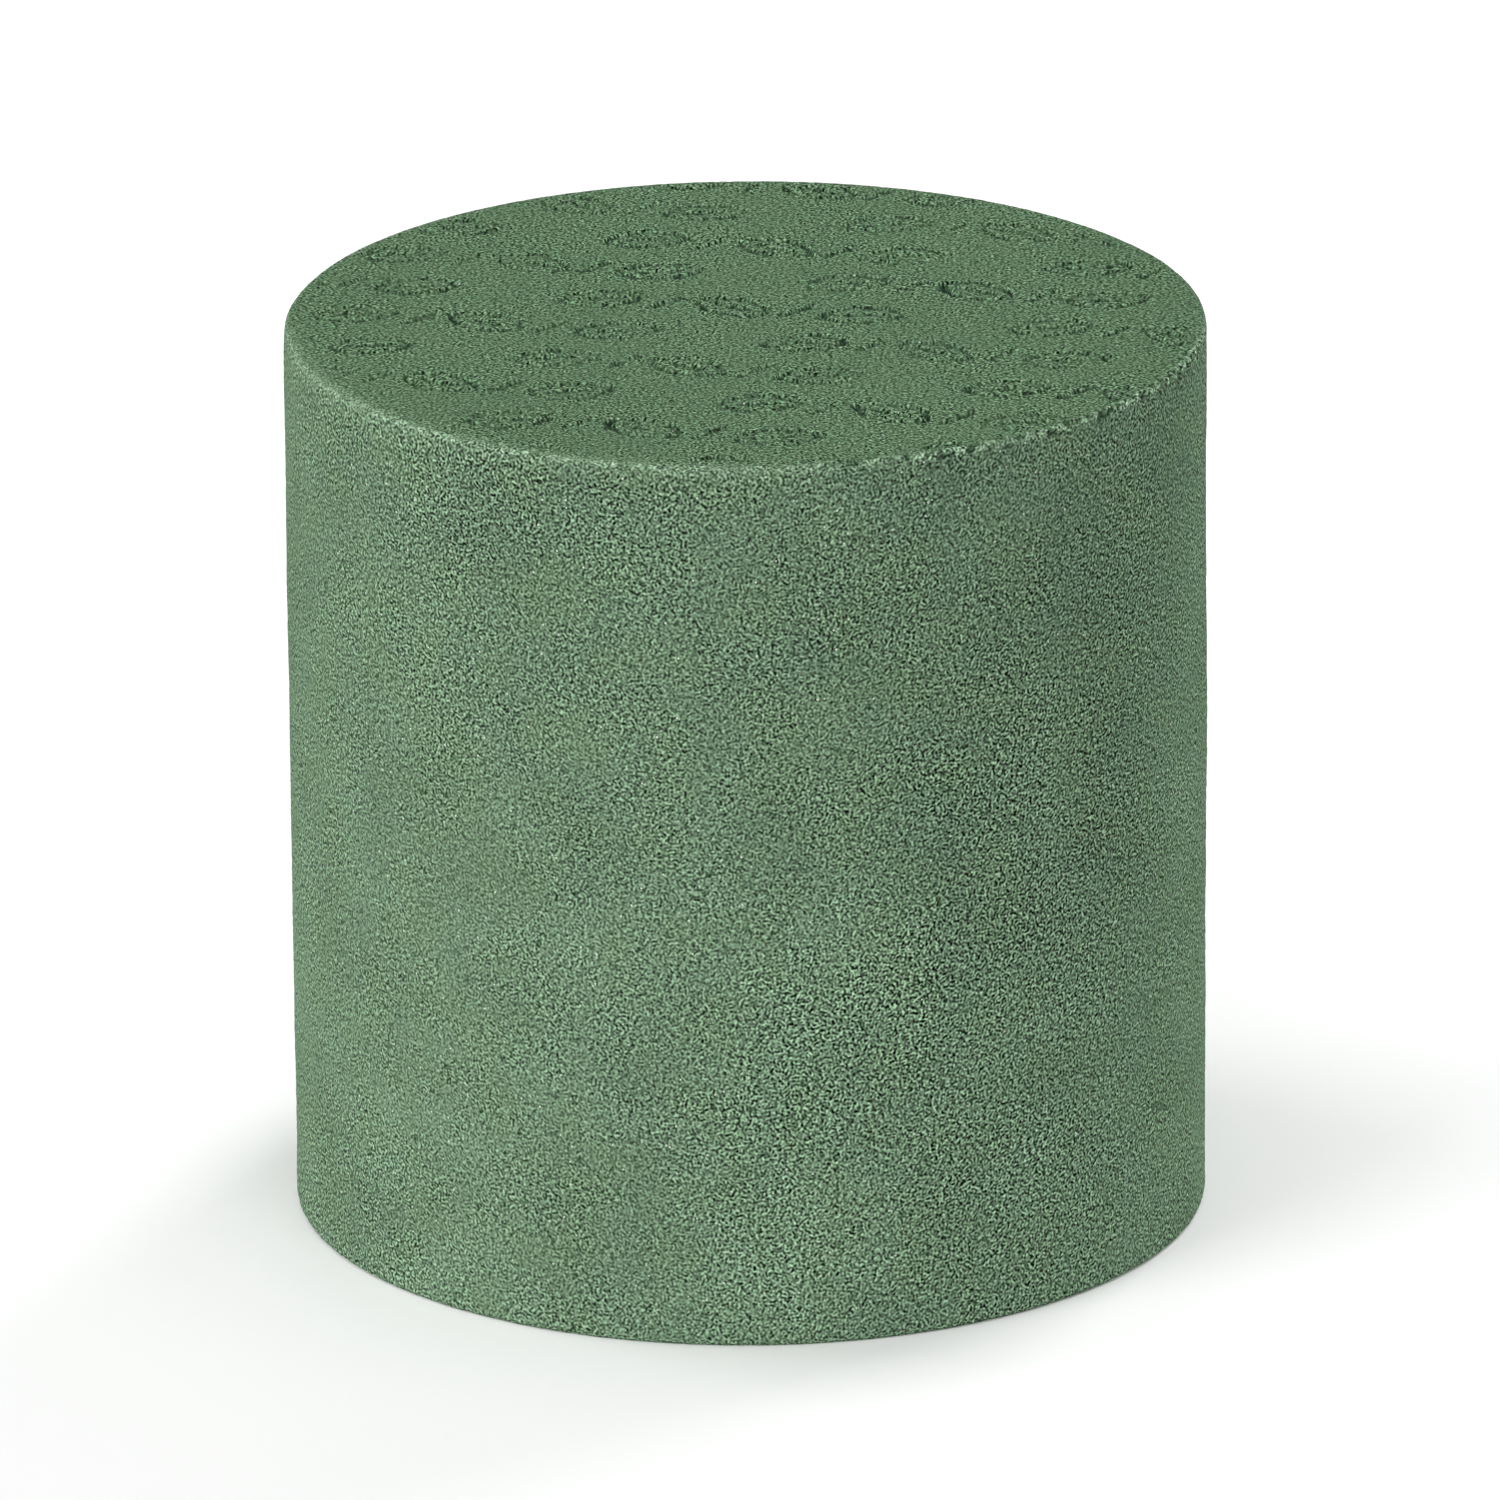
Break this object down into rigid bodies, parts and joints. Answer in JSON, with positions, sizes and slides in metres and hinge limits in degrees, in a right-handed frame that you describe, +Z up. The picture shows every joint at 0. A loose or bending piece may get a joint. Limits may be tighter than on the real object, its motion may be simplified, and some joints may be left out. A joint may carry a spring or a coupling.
{
  "type": "floral foam cylinder",
  "caption": "Solid round block of green floral foam with worn rims and rows of leaves pressed into its flat top, for holding cut stems.",
  "frame": {"origin": "centre of the base, on the surface that the block stands on", "axes": "+Z up along the block's own axis, towards the pressed top; -Y faces the viewer of the front"},
  "size_m": [0.08, 0.08, 0.08],
  "materials": {
    "green_foam": "matte"
  },
  "bodies": {
    "root": {"foam_cylinder": "green_foam"}
  },
  "joints": []
}
